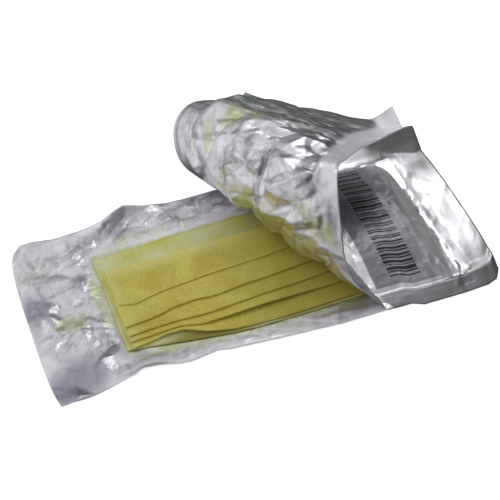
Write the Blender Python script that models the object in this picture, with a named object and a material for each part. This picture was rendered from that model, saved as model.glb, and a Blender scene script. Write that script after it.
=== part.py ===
"""Petrolatum gauze dressing in its opened foil pouch.

The pouch lies flat on z = 0 along X, centred on the origin, with its open end at -X. The back foil stays down.
The front foil is still sealed at the +X end, and from the peel line on it arches up and over to the far side.
The gauze is a base ply and a fan-folded web on it. Sizes are in millimetres, and MM turns them into metres.
"""

import bpy
import numpy as np

MM = 0.001

# Pouch
POUCH_LENGTH = 280.0
POUCH_WIDTH = 131.0
FOIL = 0.6  # wall of each foil, thicker than the real laminate so that it stays one closed solid
SIDE_SEAL = 12.0
END_SEAL = 23.0
PEEL_NEAR_X = 62.0  # where the peel line meets the near edge
PEEL_FAR_X = 31.0
END_BULGE = 3.0  # how far the middle of each end stands out
END_REACH = 0.2  # share of half the length over which it does
FLAP_LEAN = 0.95  # length that is left of the peeled foil after its crinkling

# Gauze
BASE_LENGTH = 193.0
BASE_WIDTH = 88.5
BASE_FAR_Y = 38.5
WEB_LENGTH = 190.0
WEB_WIDTH = 69.0
WEB_FAR_Y = 20.0
GAUZE_RIGHT_X = 100.0
PLY = 0.45
WEB_PLIES = 9

CLEARANCE = 0.3  # between neighbouring sheets
COVER_SLACK = 0.2  # more room between the stack and the foil over it
FOLD_STEP = 0.4  # how far each far fold lies inside the one before it, over three plies
END_STEP = 0.6  # how far the plies' open ends are out of line

# Edges of the lying foil: x as a share of the length from the open end, y as a share of half the width
NEAR_EDGE = [
    (0.000, -0.970),
    (0.040, -0.955),
    (0.082, -0.924),
    (0.132, -0.878),
    (0.164, -0.863),
    (0.182, -0.832),
    (0.218, -0.847),
    (0.257, -0.878),
    (0.282, -0.893),
    (0.343, -0.863),
    (0.375, -0.893),
    (0.443, -0.924),
    (0.521, -0.954),
    (0.625, -0.995),
    (0.721, -1.000),
    (0.780, -1.010),
    (0.804, -1.060),
    (0.904, -1.070),
    (0.960, -1.065),
    (0.985, -1.030),
    (1.000, -0.940),
]
FAR_EDGE = [
    (0.000, 0.820),
    (0.009, 0.890),
    (0.025, 0.955),
    (0.055, 0.968),
    (0.118, 0.955),
    (0.168, 0.960),
    (0.214, 0.945),
    (0.254, 1.000),
    (0.275, 1.030),
    (0.318, 1.000),
    (0.364, 1.005),
    (0.420, 0.995),
    (0.550, 1.000),
    (0.760, 1.000),
    (0.860, 0.975),
    (0.930, 0.950),
    (1.000, 0.955),
]

# Places where the lying foil's edge leaves the table: middle x and half length as shares of the length, the edge,
# its reach inwards as a share of the width, its height as a share of the pouch's own curl, and how sharply it
# bends. A sharp one narrows towards its ends.
CURL = 8.0
RISES = [
    (0.270, "far", 0.120, 0.120, 1.00, 0.0),
    (0.190, "near", 0.080, 0.045, 0.30, 0.0),
    (0.000, "near", 0.070, 0.160, 0.30, 0.0),
    (0.040, "far", 0.060, 0.130, 0.35, 0.0),
    (0.890, "far", 0.170, 0.180, 0.70, 0.0),
    (0.985, "far", 0.120, 0.130, 1.50, 0.20),
]

# Cross profile of the front foil over the gauze, from the side seal to the crest
NEAR_RAMP = [(0.0, 0.0), (0.08, 0.32), (0.2, 0.43), (0.33, 0.55), (0.47, 0.73), (0.67, 0.93), (0.84, 0.99), (1.0, 1.0)]
FAR_RAMP = [(0.0, 1.0), (0.2, 0.86), (0.4, 0.64), (0.6, 0.40), (0.8, 0.17), (0.92, 0.05), (1.0, 0.0)]

# Peeled front foil: four rails from the peel line to the free end, near edge first. Each rail leaves along a
# heading (degrees from +X towards +Y) and a climb (degrees above level), given at these shares of its length.
RAIL_SHARE = [0.0, 0.12, 0.26, 0.42, 0.58, 0.78, 1.0]
RAIL_ACROSS = [0.0, 1 / 3, 2 / 3, 1.0]
HEADINGS = [
    [144, 151, 81, 82, 47, 35, 29],
    [158, 176, 116, 76, 45, 31, 36],
    [170, 178, 146, 86, 47, 20, 38],
    [167, 180, 178, 90, 42, 8, 39],
]
CLIMBS = [
    [41, 49, 54, 58, -33, -14, -22],
    [15, 26, 64, 47, -5, -24, -44],
    [1, 10, 53, 53, 13, -34, -38],
    [10, 5, 40, 43, 8, -43, 4],
]

# The free end's near corner turns up: the shares of the rail and of the width that the turned corner takes,
# and how far its tip goes back and up
TIP_LENGTH = 0.17
TIP_WIDTH = 0.14
TIP_BACK = 5.0
TIP_RISE = 17.0

# The lip beside that corner hangs outwards: distance at shares of the rail, its way, and the share of the width it takes
LIP = [(0.62, 0.0), (0.75, 1.0), (0.80, 2.0), (0.85, 5.5), (0.90, 14.0), (0.935, 20.0), (1.0, 0.0)]
LIP_WAY = (0.35, -0.60, 0.0)
LIP_WIDTH = 0.26

# Near edges of the gauze, as shares of the web's width below its far folds, at shares of its length.
# The folds d1, d2, c and b are stacked in that order, and a is the cut edge of the top ply.
EDGE_COLUMNS = ("x", "a", "b", "c", "d2", "d1", "base")
EDGES = [
    (0.000, 0.413, 0.654, 0.740, 0.790, 0.848, 0.840),
    (0.053, 0.457, 0.648, 0.732, 0.783, 0.833, 0.862),
    (0.105, 0.420, 0.639, 0.732, 0.781, 0.812, 0.891),
    (0.168, 0.396, 0.594, 0.739, 0.790, 0.826, 0.920),
    (0.237, 0.384, 0.580, 0.746, 0.830, 0.906, 0.950),
    (0.316, 0.370, 0.601, 0.746, 0.833, 0.957, 0.985),
    (0.400, 0.358, 0.580, 0.736, 0.833, 0.981, 1.000),
    (0.500, 0.355, 0.565, 0.725, 0.833, 0.990, 1.008),
    (0.605, 0.322, 0.546, 0.707, 0.828, 0.988, 1.012),
    (0.711, 0.314, 0.533, 0.688, 0.819, 0.984, 1.008),
    (0.842, 0.312, 0.530, 0.688, 0.819, 0.978, 1.000),
    (1.000, 0.312, 0.530, 0.688, 0.819, 0.975, 1.000),
]

# Folds that stand open: first ply that is lifted, its near edge, middle and half length as shares of the web's
# length, reach as a share of its width, and rise in plies.
GAPES = [
    (2, "d2", 0.44, 0.26, 0.30, 5.0),
    (0, "d1", 0.17, 0.12, 0.25, 4.0),
]

FLAP_ROWS = 34
OPEN_ROWS = 46
COVER_ROWS = 6
SEAL_CELLS = 2
CREST_CELLS = 4
END_ROWS = [0.0, 0.25, 0.5, 0.75, 1.0]
GAUZE_ROWS = 19
PLY_CELLS = 3
FOLD_CELLS = 4

HALF_LENGTH = POUCH_LENGTH / 2
HALF_WIDTH = POUCH_WIDTH / 2
PITCH = PLY + CLEARANCE
BASE_Z = FOIL + CLEARANCE + PLY / 2
WEB_Z = BASE_Z + PITCH
STACK_TOP = WEB_Z + (WEB_PLIES - 1) * PITCH + PLY / 2
SEALED_Z = FOIL + CLEARANCE + FOIL / 2
CREST_Z = STACK_TOP + CLEARANCE + FOIL / 2 + COVER_SLACK


def column(table, names, name):
    """One named column of a table."""
    return np.array([row[names.index(name)] for row in table])


def smooth(t):
    """A smooth step from 0 to 1."""
    t = np.clip(t, 0.0, 1.0)
    return t * t * (3 - 2 * t)


def outline(x):
    """Near and far edge of the lying foil at x."""
    share = (np.asarray(x) + HALF_LENGTH) / POUCH_LENGTH
    near = np.interp(share, *np.transpose(NEAR_EDGE))
    far = np.interp(share, *np.transpose(FAR_EDGE))
    return near * HALF_WIDTH, far * HALF_WIDTH


def table_rise(x, y):
    """Height of the lying foil's underside above the table."""
    near, far = outline(x)
    total = np.zeros(np.broadcast(x, y).shape)
    for middle, edge, half_length, reach, rise, bend in RISES:
        inwards = far - y if edge == "far" else y - near
        along = np.abs(x + HALF_LENGTH - middle * POUCH_LENGTH) / (half_length * POUCH_LENGTH)
        narrowing = np.clip(1 - 0.8 * along, 0.2, 1.0) if bend else 1.0
        across = np.clip(1 - inwards / (reach * POUCH_WIDTH * narrowing), 0.0, 1.2)
        sharp = np.clip((across - bend) / (1 - bend), 0.0, 1.2) ** 1.12
        total = total + rise * CURL * smooth(1 - along) * (sharp if bend else across**2)
    return total


def gauze_edge(name, x):
    """Y of one of the gauze's near edges at x."""
    share = (x - GAUZE_RIGHT_X + WEB_LENGTH) / WEB_LENGTH
    at = column(EDGES, EDGE_COLUMNS, "x")
    return WEB_FAR_Y - WEB_WIDTH * np.interp(share, at, column(EDGES, EDGE_COLUMNS, name))


def gape(ply, x, y):
    """How far an open fold lifts this ply."""
    total = np.zeros(np.broadcast(x, y).shape)
    for first, edge, middle, half_length, reach, rise in GAPES:
        if ply < first:
            continue
        along = np.abs(x - GAUZE_RIGHT_X + WEB_LENGTH * (1 - middle)) / (half_length * WEB_LENGTH)
        inwards = (y - gauze_edge(edge, x)) / (reach * WEB_WIDTH)
        total = total + rise * PLY * smooth(1 - along) * np.clip(1 - inwards, 0.0, 1.0) ** 2
    return total


def cover_columns():
    """Share of the width and share of the crest's height of each line along the front foil."""
    seal = SIDE_SEAL / POUCH_WIDTH
    near_crest = 0.5 + gauze_edge("a", PEEL_NEAR_X) / POUCH_WIDTH
    far_crest = 0.5 + (WEB_FAR_Y + PITCH) / POUCH_WIDTH
    lines = [(seal * i / SEAL_CELLS, 0.0) for i in range(SEAL_CELLS)]
    lines += [(seal + s * (near_crest - seal), height) for s, height in NEAR_RAMP]
    lines += [(near_crest + (far_crest - near_crest) * i / CREST_CELLS, 1.0) for i in range(1, CREST_CELLS)]
    lines += [(far_crest + s * (1 - seal - far_crest), height) for s, height in FAR_RAMP]
    lines += [(1 - seal + seal * i / SEAL_CELLS, 0.0) for i in range(1, SEAL_CELLS + 1)]
    return np.array(lines).T


def peel_x(across):
    """X of the peel line."""
    return PEEL_NEAR_X + across * (PEEL_FAR_X - PEEL_NEAR_X)


def rails(shares):
    """Points of the four rails of the peeled foil at shares of their length."""
    steps = 240
    fine = np.linspace(0.0, 1.0, steps + 1)
    crest = [SEALED_Z, CREST_Z, CREST_Z, SEALED_Z + 0.16 * (CREST_Z - SEALED_Z)]
    found = []
    for across, headings, climbs, start_z in zip(RAIL_ACROSS, HEADINGS, CLIMBS, crest):
        heading = np.radians(np.interp(fine, RAIL_SHARE, headings))
        climb = np.radians(np.interp(fine, RAIL_SHARE, climbs))
        way = [np.cos(heading) * np.cos(climb), np.sin(heading) * np.cos(climb), np.sin(climb)]
        way = np.stack(way, axis=-1)
        start = np.array([peel_x(across), (across - 0.5) * POUCH_WIDTH, start_z])
        length = FLAP_LEAN * (start[0] + HALF_LENGTH)
        points = start + np.vstack([np.zeros(3), np.cumsum((way[1:] + way[:-1]) / 2, axis=0) * length / steps])
        found.append([np.interp(shares, fine, points[:, axis]) for axis in range(3)])
    return np.array(found).transpose(0, 2, 1)


def across_rails(values, across):
    """The smooth curve through the four rails' values, at shares of the width."""
    result = 0.0
    for i, own in enumerate(RAIL_ACROSS):
        weight = np.ones_like(across)
        for other in RAIL_ACROSS[:i] + RAIL_ACROSS[i + 1 :]:
            weight = weight * (across - other) / (own - other)
        result = result + weight[:, None] * values[i]
    return result


def lying(x, across, height):
    """A row of points of a foil that lies in the pouch, at a height above its underside, square to it."""
    near, far = outline(x)
    y = near + across * (far - near)
    step = PLY / 50
    slope_x = (table_rise(x + step, y) - table_rise(x - step, y)) / (2 * step)
    slope_y = (table_rise(x, y + step) - table_rise(x, y - step)) / (2 * step)
    normal = np.stack([-slope_x, -slope_y, np.ones_like(y)], axis=-1)
    normal /= np.linalg.norm(normal, axis=-1, keepdims=True)
    stand = END_BULGE * (1 - (2 * across - 1) ** 4) * smooth((np.abs(x) / HALF_LENGTH - 1) / END_REACH + 1)
    foot = np.stack([x + stand * np.sign(x), y, table_rise(x, y)], axis=-1)
    return foot + normal * np.reshape(height, (-1, 1))


def end_stations():
    """X of the rows shared by both foils, from where the front foil comes down over the gauze to the sealed end."""
    foot = GAUZE_RIGHT_X + CLEARANCE + FOIL
    seal = HALF_LENGTH - END_SEAL
    down = [foot + share * (seal - foot) for share in END_ROWS]
    return down + [seal + share * END_SEAL for share in END_ROWS[1:]]


def front_points():
    """Middle surface of the front foil: rows from the free end to the sealed end, columns from near to far."""
    across, height = cover_columns()
    cover = height * (CREST_Z - SEALED_Z)
    foot, seal = end_stations()[0], HALF_LENGTH - END_SEAL
    rows = []
    shares = np.linspace(0.0, 1.0, FLAP_ROWS + 1)
    lines = rails(shares)
    over = SEALED_Z + cover - across_rails(lines[:, 0], across)[:, 2]
    for row, share in enumerate(shares):
        points = across_rails(lines[:, row], across)
        points[:, 2] += over * (1 - smooth(share / 0.3))
        tip = np.clip((share - 1) / TIP_LENGTH + 1 - across / TIP_WIDTH, 0.0, 1.0) ** 1.2
        points += np.outer(tip, (-TIP_BACK, 0.0, TIP_RISE))
        lip = np.interp(share, *np.transpose(LIP)) * np.clip(1 - across / LIP_WIDTH, 0.0, 1.0) ** 1.4
        points += np.outer(lip, LIP_WAY)
        rows.insert(0, points)
    for i in range(1, COVER_ROWS):
        x = peel_x(across) + (foot - peel_x(across)) * i / COVER_ROWS
        rows.append(lying(x, across, SEALED_Z + cover))
    for x in end_stations():
        down = smooth((seal - x) / (seal - foot))
        rows.append(lying(np.full_like(across, x), across, SEALED_Z + down * cover))
    return np.array(rows)


def back_points():
    """Underside of the back foil: rows along the pouch, columns from near to far."""
    across = cover_columns()[0]
    stations = list(np.linspace(-HALF_LENGTH, end_stations()[0], OPEN_ROWS + 1)) + end_stations()[1:]
    return np.array([lying(np.full_like(across, x), across, 0.0) for x in stations])


def base_points():
    """Middle surface of the gauze's base ply."""
    x = np.linspace(GAUZE_RIGHT_X - BASE_LENGTH, GAUZE_RIGHT_X, GAUZE_ROWS)[:, None]
    share = np.linspace(0.0, 1.0, 5)[None, :]
    near = gauze_edge("base", x)
    far = BASE_FAR_Y - 0.03 * BASE_WIDTH * smooth(-x / HALF_LENGTH)
    y = near + share * (far - near)
    return np.stack([x + 0 * y, y, BASE_Z + table_rise(x + 0 * y, y)], axis=-1)


def web_row(x, share):
    """Points of the folded web at one place along it, from the lowest ply's far edge to the top ply's cut edge."""
    folds = ["d1", "d2", "c", "b", "a"]
    radius = PITCH / 2
    points = []
    for ply in range(WEB_PLIES):
        z = WEB_Z + ply * PITCH
        near = gauze_edge(folds[ply // 2], x)
        near_end = near if ply == WEB_PLIES - 1 else near + radius + PLY / 2
        far_end = WEB_FAR_Y - radius - PLY / 2 - FOLD_STEP * (ply % 3)
        ends = (far_end, near_end) if ply % 2 == 0 else (near_end, far_end)
        for y in np.linspace(ends[0], ends[1], PLY_CELLS + 1):
            points.append((y, z, ply))
        if ply == WEB_PLIES - 1:
            break
        side = -1 if ply % 2 == 0 else 1
        next_end = ends[1] if side < 0 else WEB_FAR_Y - radius - PLY / 2 - FOLD_STEP * ((ply + 1) % 3)
        for i in range(1, FOLD_CELLS):
            turn = np.pi * i / FOLD_CELLS
            y = ends[1] + (next_end - ends[1]) * i / FOLD_CELLS + side * radius * np.sin(turn)
            points.append((y, z + radius * (1 - np.cos(turn)), ply + i / FOLD_CELLS))
    y, z, ply = np.array(points).T
    lift = np.array([gape(round(level), x, at) for level, at in zip(ply, y)])
    stagger = END_STEP * (1 - share) * np.sin(1.7 * ply)
    return np.stack([x + stagger, y, z + lift + table_rise(np.full_like(y, x), y)], axis=-1)


def web_points():
    """Middle surface of the folded web."""
    shares = np.linspace(0.0, 1.0, GAUZE_ROWS)
    return np.array([web_row(GAUZE_RIGHT_X - WEB_LENGTH * (1 - share), share) for share in shares])


def material(name, colour, roughness, metallic):
    """A Principled material."""
    made = bpy.data.materials.new(name)
    made.use_nodes = True
    shader = made.node_tree.nodes["Principled BSDF"]
    shader.inputs["Base Color"].default_value = (*colour, 1.0)
    shader.inputs["Roughness"].default_value = roughness
    shader.inputs["Metallic"].default_value = metallic
    return made


def sheet(name, points, thickness, offset, surface):
    """A sheet through a grid of points, thickened by Solidify. Offset 0 thickens it to both sides."""
    rows, columns = points.shape[:2]
    index = np.arange(rows * columns).reshape(rows, columns)
    faces = np.stack([index[:-1, :-1], index[:-1, 1:], index[1:, 1:], index[1:, :-1]], axis=-1)
    mesh = bpy.data.meshes.new(name)
    mesh.from_pydata((points.reshape(-1, 3) * MM).tolist(), [], faces.reshape(-1, 4).tolist())
    mesh.materials.append(surface)
    made = bpy.data.objects.new(name, mesh)
    bpy.context.scene.collection.objects.link(made)
    wall = made.modifiers.new("wall", "SOLIDIFY")
    wall.thickness = thickness * MM
    wall.offset = offset
    wall.use_even_offset = False
    return made


def build():
    """Clears the scene and makes the four pieces."""
    for old in list(bpy.data.objects):
        bpy.data.objects.remove(old, do_unlink=True)
    foil = material("foil", (0.72, 0.71, 0.74), 0.28, 0.9)
    printed = material("printed foil", (0.70, 0.70, 0.74), 0.35, 0.8)
    soaked = material("soaked gauze", (0.62, 0.55, 0.10), 0.5, 0.0)
    pale = material("pale gauze", (0.68, 0.66, 0.25), 0.5, 0.0)
    sheet("back_foil", back_points(), FOIL, -1.0, foil)
    sheet("front_foil", front_points(), FOIL, 0.0, printed)
    sheet("gauze_base", base_points(), PLY, 0.0, pale)
    sheet("gauze_web", web_points(), PLY, 0.0, soaked)


build()
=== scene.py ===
"""Looks of a petrolatum gauze dressing in its opened foil pouch.

The lengths in the tables are millimetres, as in the part's source, and MM turns them into metres. Each foil is a
fine grid with its crumples as relief, and the gauze is one base ply and one fan-folded web on it.
"""

import math

import bpy
import numpy as np
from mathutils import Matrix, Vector
from mathutils.geometry import delaunay_2d_cdt


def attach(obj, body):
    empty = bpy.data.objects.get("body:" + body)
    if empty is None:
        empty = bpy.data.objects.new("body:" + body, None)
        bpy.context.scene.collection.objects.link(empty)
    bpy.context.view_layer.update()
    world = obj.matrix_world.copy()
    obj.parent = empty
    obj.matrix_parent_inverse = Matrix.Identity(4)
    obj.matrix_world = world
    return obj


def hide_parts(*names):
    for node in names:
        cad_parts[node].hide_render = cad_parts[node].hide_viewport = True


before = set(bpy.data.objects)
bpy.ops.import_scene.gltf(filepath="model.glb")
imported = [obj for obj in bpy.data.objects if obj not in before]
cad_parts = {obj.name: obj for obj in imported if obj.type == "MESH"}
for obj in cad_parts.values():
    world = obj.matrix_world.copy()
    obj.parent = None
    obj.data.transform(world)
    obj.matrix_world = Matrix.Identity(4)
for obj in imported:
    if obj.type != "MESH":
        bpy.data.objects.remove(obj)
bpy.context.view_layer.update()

MM = 0.001

# ---------------------------------------------------------------- sizes and tables of the part
POUCH_LENGTH = 280.0
POUCH_WIDTH = 131.0
SIDE_SEAL = 12.0
END_SEAL = 23.0
PEEL_NEAR_X = 62.0
PEEL_FAR_X = 31.0
END_BULGE = 3.0
END_REACH = 0.2
FLAP_LEAN = 0.95
BASE_LENGTH = 193.0
BASE_FAR_Y = 38.5
BASE_WIDTH = 88.5
WEB_LENGTH = 190.0
WEB_WIDTH = 69.0
WEB_FAR_Y = 20.0
GAUZE_RIGHT_X = 100.0
PLY = 0.45
PITCH = 0.75
WEB_PLIES = 9
FOLD_STEP = 0.4
END_STEP = 0.6
CURL = 8.0
BASE_Z = 1.125
WEB_Z = 1.875
CREST_Z = 8.9
CAD_SEALED_Z = 1.2
HALF_LENGTH = POUCH_LENGTH / 2
HALF_WIDTH = POUCH_WIDTH / 2

# The laminate as it shows: its thickness, and the height of its middle where it lies and where it is sealed
FILM = 0.25
LYING_Z = 0.3
SEALED_Z = 0.6
# The distance from the gauze at which the back foil's crumples have their full height, and the most that they rise
# under the closed part
CRUMPLE_ROOM = 13.0
UNDER_GAUZE = 0.5
# The gauze sheets' thickness as they show
BASE_SHOWN, WEB_SHOWN = 0.5, 0.6
# The sheets' grids, with the cells across a ply of the web, across its top ply and round a fold
BACK_GRID = (317, 145)
FRONT_ROWS = {"flap": 180, "cover": 50, "end": 40}
FRONT_COLUMNS = 141
BASE_GRID = (194, 61)
WEB_ROWS = 191
PLY_CELLS, TOP_CELLS, FOLD_CELLS = 14, 44, 8

NEAR_EDGE = [
    (0.000, -0.970), (0.040, -0.955), (0.082, -0.924), (0.132, -0.878), (0.164, -0.863), (0.182, -0.832),
    (0.218, -0.847), (0.257, -0.878), (0.282, -0.893), (0.343, -0.863), (0.375, -0.893), (0.443, -0.924),
    (0.521, -0.954), (0.625, -0.995), (0.721, -1.000), (0.780, -1.010), (0.804, -1.060), (0.904, -1.070),
    (0.960, -1.065), (0.985, -1.030), (1.000, -0.940),
]
FAR_EDGE = [
    (0.000, 0.820), (0.009, 0.890), (0.025, 0.955), (0.055, 0.968), (0.118, 0.955), (0.168, 0.960),
    (0.214, 0.945), (0.254, 1.000), (0.275, 1.030), (0.318, 1.000), (0.364, 1.005), (0.420, 0.995),
    (0.550, 1.000), (0.760, 1.000), (0.860, 0.975), (0.930, 0.950), (1.000, 0.955),
]
# Where the edge leaves the table: middle, edge, half length, reach, rise, and how sharply it bends up
RISES = [
    (0.270, "far", 0.120, 0.120, 1.00, 0.0),
    (0.190, "near", 0.080, 0.045, 0.30, 0.0),
    (0.000, "near", 0.070, 0.160, 0.30, 0.0),
    (0.040, "far", 0.060, 0.130, 0.35, 0.0),
    (0.890, "far", 0.170, 0.180, 0.70, 0.0),
    (0.985, "far", 0.120, 0.130, 1.50, 0.20),
]
NEAR_RAMP = [(0.0, 0.0), (0.08, 0.32), (0.2, 0.43), (0.33, 0.55), (0.47, 0.73), (0.67, 0.93), (0.84, 0.99), (1.0, 1.0)]
FAR_RAMP = [(0.0, 1.0), (0.2, 0.86), (0.4, 0.64), (0.6, 0.40), (0.8, 0.17), (0.92, 0.05), (1.0, 0.0)]
RAIL_SHARE = [0.0, 0.12, 0.26, 0.42, 0.58, 0.78, 1.0]
RAIL_ACROSS = [0.0, 1 / 3, 2 / 3, 1.0]
HEADINGS = [
    [144, 151, 81, 82, 47, 35, 29],
    [158, 176, 116, 76, 45, 31, 36],
    [170, 178, 146, 86, 47, 20, 38],
    [167, 180, 178, 90, 42, 8, 39],
]
CLIMBS = [
    [41, 49, 54, 58, -33, -14, -22],
    [15, 26, 64, 47, -5, -24, -44],
    [1, 10, 53, 53, 13, -34, -38],
    [10, 5, 40, 43, 8, -43, 4],
]
# The flap's near corner stands up in a tip: shares of the rail and of the width, and distances
TIP_LENGTH = 0.17
TIP_WIDTH = 0.14
TIP_BACK = 5.0
TIP_RISE = 17.0
# The lip beside the tip hangs outwards: share of the rail's length and distance
LIP = [(0.62, 0.0), (0.75, 1.0), (0.80, 2.0), (0.85, 5.5), (0.90, 14.0), (0.935, 20.0), (1.0, 0.0)]
LIP_WAY = (0.35, -0.60, 0.0)
LIP_WIDTH = 0.26
EDGE_COLUMNS = ("x", "a", "b", "c", "d2", "d1", "base")
EDGES = [
    (0.000, 0.413, 0.654, 0.740, 0.790, 0.848, 0.840),
    (0.053, 0.457, 0.648, 0.732, 0.783, 0.833, 0.862),
    (0.105, 0.420, 0.639, 0.732, 0.781, 0.812, 0.891),
    (0.168, 0.396, 0.594, 0.739, 0.790, 0.826, 0.920),
    (0.237, 0.384, 0.580, 0.746, 0.830, 0.906, 0.950),
    (0.316, 0.370, 0.601, 0.746, 0.833, 0.957, 0.985),
    (0.400, 0.358, 0.580, 0.736, 0.833, 0.981, 1.000),
    (0.500, 0.355, 0.565, 0.725, 0.833, 0.990, 1.008),
    (0.605, 0.322, 0.546, 0.707, 0.828, 0.988, 1.012),
    (0.711, 0.314, 0.533, 0.688, 0.819, 0.984, 1.008),
    (0.842, 0.312, 0.530, 0.688, 0.819, 0.978, 1.000),
    (1.000, 0.312, 0.530, 0.688, 0.819, 0.975, 1.000),
]
GAPES = [
    (2, "d2", 0.44, 0.26, 0.30, 5.0),
    (0, "d1", 0.17, 0.12, 0.25, 4.0),
]


# ---------------------------------------------------------------- shape of the lying foil, the flap and the gauze
def smooth(t):
    """A smooth step from 0 to 1."""
    t = np.clip(t, 0.0, 1.0)
    return t * t * (3 - 2 * t)


def outline(x):
    """Near and far edge of the lying foil at x."""
    share = (np.asarray(x) + HALF_LENGTH) / POUCH_LENGTH
    near = np.interp(share, *np.transpose(NEAR_EDGE))
    far = np.interp(share, *np.transpose(FAR_EDGE))
    return near * HALF_WIDTH, far * HALF_WIDTH


def table_rise(x, y):
    """Height of the lying foil's underside above the table."""
    near, far = outline(x)
    total = np.zeros(np.broadcast(x, y).shape)
    for middle, edge, half_length, reach, rise, bend in RISES:
        inwards = far - y if edge == "far" else y - near
        along = np.abs(x + HALF_LENGTH - middle * POUCH_LENGTH) / (half_length * POUCH_LENGTH)
        narrowing = np.clip(1 - 0.8 * along, 0.2, 1.0) if bend else 1.0
        across = np.clip(1 - inwards / (reach * POUCH_WIDTH * narrowing), 0.0, 1.2)
        soft = across**2
        sharp = np.clip((across - bend) / (1 - bend), 0.0, 1.2) ** 1.12
        total = total + rise * CURL * smooth(1 - along) * (sharp if bend else soft)
    return total


def gauze_edge(name, x):
    """Y of one of the gauze's near edges at x."""
    share = (x - GAUZE_RIGHT_X + WEB_LENGTH) / WEB_LENGTH
    at = [row[0] for row in EDGES]
    below = [row[EDGE_COLUMNS.index(name)] for row in EDGES]
    return WEB_FAR_Y - WEB_WIDTH * np.interp(share, at, below)


def gape(ply, x, y):
    """How far an open fold lifts this ply."""
    total = np.zeros(np.broadcast(x, y).shape)
    for first, edge, middle, half_length, reach, rise in GAPES:
        along = np.abs(x - GAUZE_RIGHT_X + WEB_LENGTH * (1 - middle)) / (half_length * WEB_LENGTH)
        inwards = (y - gauze_edge(edge, x)) / (reach * WEB_WIDTH)
        lift = rise * PLY * smooth(1 - along) * np.clip(1 - inwards, 0.0, 1.0) ** 2
        total = total + np.where(ply >= first, lift, 0.0)
    return total


def cover_share(across):
    """Height of the front foil over the gauze as a share of its crest, at shares of the width."""
    seal = SIDE_SEAL / POUCH_WIDTH
    near_crest = 0.5 + gauze_edge("a", PEEL_NEAR_X) / POUCH_WIDTH
    far_crest = 0.5 + (WEB_FAR_Y + PITCH) / POUCH_WIDTH
    lines = [(0.0, 0.0)]
    lines += [(seal + s * (near_crest - seal), height) for s, height in NEAR_RAMP]
    lines += [(far_crest + s * (1 - seal - far_crest), height) for s, height in FAR_RAMP]
    lines += [(1.0, 0.0)]
    fine = np.linspace(-0.1, 1.1, 1201)
    height = np.interp(fine, *np.transpose(lines))
    kernel = np.hanning(31)
    height = np.convolve(height, kernel / kernel.sum(), "same")
    return np.interp(across, fine, height)


def peel_x(across):
    """X of the peel line."""
    return PEEL_NEAR_X + across * (PEEL_FAR_X - PEEL_NEAR_X)


def rails(shares):
    """Points of the four rails of the peeled foil at shares of their length."""
    steps = 240
    fine = np.linspace(0.0, 1.0, steps + 1)
    crest = [CAD_SEALED_Z, CREST_Z, CREST_Z, CAD_SEALED_Z + 0.16 * (CREST_Z - CAD_SEALED_Z)]
    found = []
    for across, headings, climbs, start_z in zip(RAIL_ACROSS, HEADINGS, CLIMBS, crest):
        heading = np.radians(np.interp(fine, RAIL_SHARE, headings))
        climb = np.radians(np.interp(fine, RAIL_SHARE, climbs))
        way = [np.cos(heading) * np.cos(climb), np.sin(heading) * np.cos(climb), np.sin(climb)]
        way = np.stack(way, axis=-1)
        start = np.array([peel_x(across), (across - 0.5) * POUCH_WIDTH, start_z])
        length = FLAP_LEAN * (start[0] + HALF_LENGTH)
        points = start + np.vstack([np.zeros(3), np.cumsum((way[1:] + way[:-1]) / 2, axis=0) * length / steps])
        found.append([np.interp(shares, fine, points[:, axis]) for axis in range(3)])
    return np.array(found).transpose(0, 2, 1)


def across_rails(values, across):
    """The smooth curve through the four rails' values, at shares of the width."""
    result = 0.0
    for i, own in enumerate(RAIL_ACROSS):
        weight = np.ones_like(across)
        for other in RAIL_ACROSS[:i] + RAIL_ACROSS[i + 1 :]:
            weight = weight * (across - other) / (own - other)
        result = result + weight[:, None] * values[i]
    return result


def lying(x, across, height):
    """Points of a foil that lies in the pouch, at a height above its underside, square to it."""
    near, far = outline(x)
    y = near + across * (far - near)
    step = PLY / 50
    slope_x = (table_rise(x + step, y) - table_rise(x - step, y)) / (2 * step)
    slope_y = (table_rise(x, y + step) - table_rise(x, y - step)) / (2 * step)
    normal = np.stack([-slope_x, -slope_y, np.ones_like(y)], axis=-1)
    normal /= np.linalg.norm(normal, axis=-1, keepdims=True)
    stand = END_BULGE * (1 - (2 * across - 1) ** 4) * smooth((np.abs(x) / HALF_LENGTH - 1) / END_REACH + 1)
    foot = np.stack([x + stand * np.sign(x), y, table_rise(x, y)], axis=-1)
    return foot + normal * np.reshape(height, (-1, 1))


# ---------------------------------------------------------------- crumples
def along_aside(u, v, middle_u, middle_v, heading):
    """Distances from a middle along a heading and to its left."""
    c, s = math.cos(math.radians(heading)), math.sin(math.radians(heading))
    return (u - middle_u) * c + (v - middle_v) * s, (v - middle_v) * c - (u - middle_u) * s


def ridges(u, v, table):
    """Relief of straight creases: each has a middle, a heading, a half length, a reach to each side and a height."""
    total = np.zeros_like(u)
    for middle_u, middle_v, heading, half, reach, height in table:
        along, aside = along_aside(u, v, middle_u, middle_v, heading)
        total += height * np.clip(1 - np.abs(aside) / reach, 0.0, 1.0) * smooth(1.25 * (1 - np.abs(along) / half))
    return total


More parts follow.
